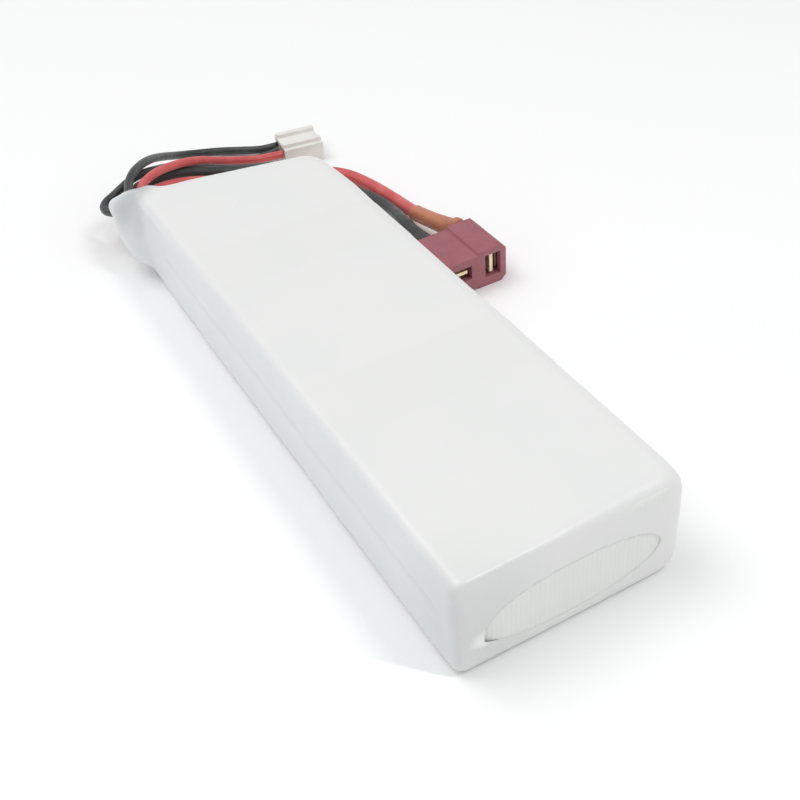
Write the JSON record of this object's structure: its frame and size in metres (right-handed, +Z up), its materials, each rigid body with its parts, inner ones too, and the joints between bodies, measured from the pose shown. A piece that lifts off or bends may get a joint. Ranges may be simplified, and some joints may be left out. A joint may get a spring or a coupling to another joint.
{
  "type": "lipo battery pack",
  "caption": "Soft-cased rechargeable battery pack in white shrink film, with red and black leads to a T-shaped power plug and thin balance wires to a small white connector.",
  "frame": {"origin": "middle of the pack's flat underside, on the surface it rests on", "axes": "+Z up; +Y along the pack towards the end where the leads come out; +X across the pack towards the side where the power plug lies"},
  "size_m": [0.0683, 0.1747, 0.0208],
  "materials": {
    "film": "smooth shrunk film, soft sheen",
    "pad": "fine ribbed white pad, dull",
    "tape": "thin polyester tape",
    "bond_tape": "double-sided tape",
    "pouch_foil": "embossed laminated foil, dull silver",
    "electrodes": "dark layered stack",
    "nickel": "nickel-plated strip",
    "tab_aluminium": "bare strip",
    "paper": "fibre insulating paper",
    "board": "green glass-fibre board",
    "solder": "bright solder",
    "silicone_black": "soft silicone insulation",
    "silicone_red": "soft silicone insulation",
    "plug_nylon": "moulded nylon, satin",
    "gold_plate": "gold-plated contact",
    "spring_metal": "thin plated spring leaf",
    "shrink_orange": "shrunk tube, satin",
    "shrink_black": "shrunk tube, satin",
    "connector_white": "moulded nylon",
    "terminal_tin": "tinned terminal"
  },
  "bodies": {
    "pack": {"shrink_wrap": "film", "near_end_pad": "pad", "far_end_pad": "pad", "tape_band_near": "tape", "tape_band_far": "tape", "cell_bond_tape_near": "bond_tape", "cell_bond_tape_far": "bond_tape", "pouch_upper": "pouch_foil", "electrode_stack_upper": "electrodes", "pouch_lower": "pouch_foil", "electrode_stack_lower": "electrodes", "tab_negative_upper": "nickel", "tab_positive_upper": "tab_aluminium", "tab_positive_lower": "tab_aluminium", "tab_negative_lower": "nickel", "insulating_paper": "paper", "tab_board": "board", "series_link": "nickel", "solder_joint_negative": "solder", "solder_joint_positive": "solder", "main_lead_black": "silicone_black", "main_lead_red": "silicone_red", "balance_wire_black": "silicone_black", "balance_wire_middle": "silicone_black", "balance_wire_red": "silicone_red", "plug_housing": "plug_nylon", "contact_blade_positive": "gold_plate", "contact_blade_negative": "gold_plate", "heat_shrink_positive": "shrink_orange", "heat_shrink_negative": "shrink_black", "balance_housing": "connector_white", "balance_terminal_black": "terminal_tin", "balance_terminal_middle": "terminal_tin", "balance_terminal_red": "terminal_tin"},
    "positive_contact_spring": {"contact_spring_positive": "spring_metal"},
    "negative_contact_spring": {"contact_spring_negative": "spring_metal"}
  },
  "joints": [
    {"name": "positive_spring_flex", "type": "hinge", "parent": "pack", "child": "positive_contact_spring", "pos_m": [0.04092, 0.0311, 0.00485], "axis": [0, 0, 1], "range_deg": [0, 3.5], "stiffness_Nm_per_rad": 0.05, "springref_deg": -1.15},
    {"name": "negative_spring_flex", "type": "hinge", "parent": "pack", "child": "negative_contact_spring", "pos_m": [0.03115, 0.0311, 0.00338], "axis": [1, 0, 0], "range_deg": [0, 3.5], "stiffness_Nm_per_rad": 0.05, "springref_deg": -1.15}
  ]
}
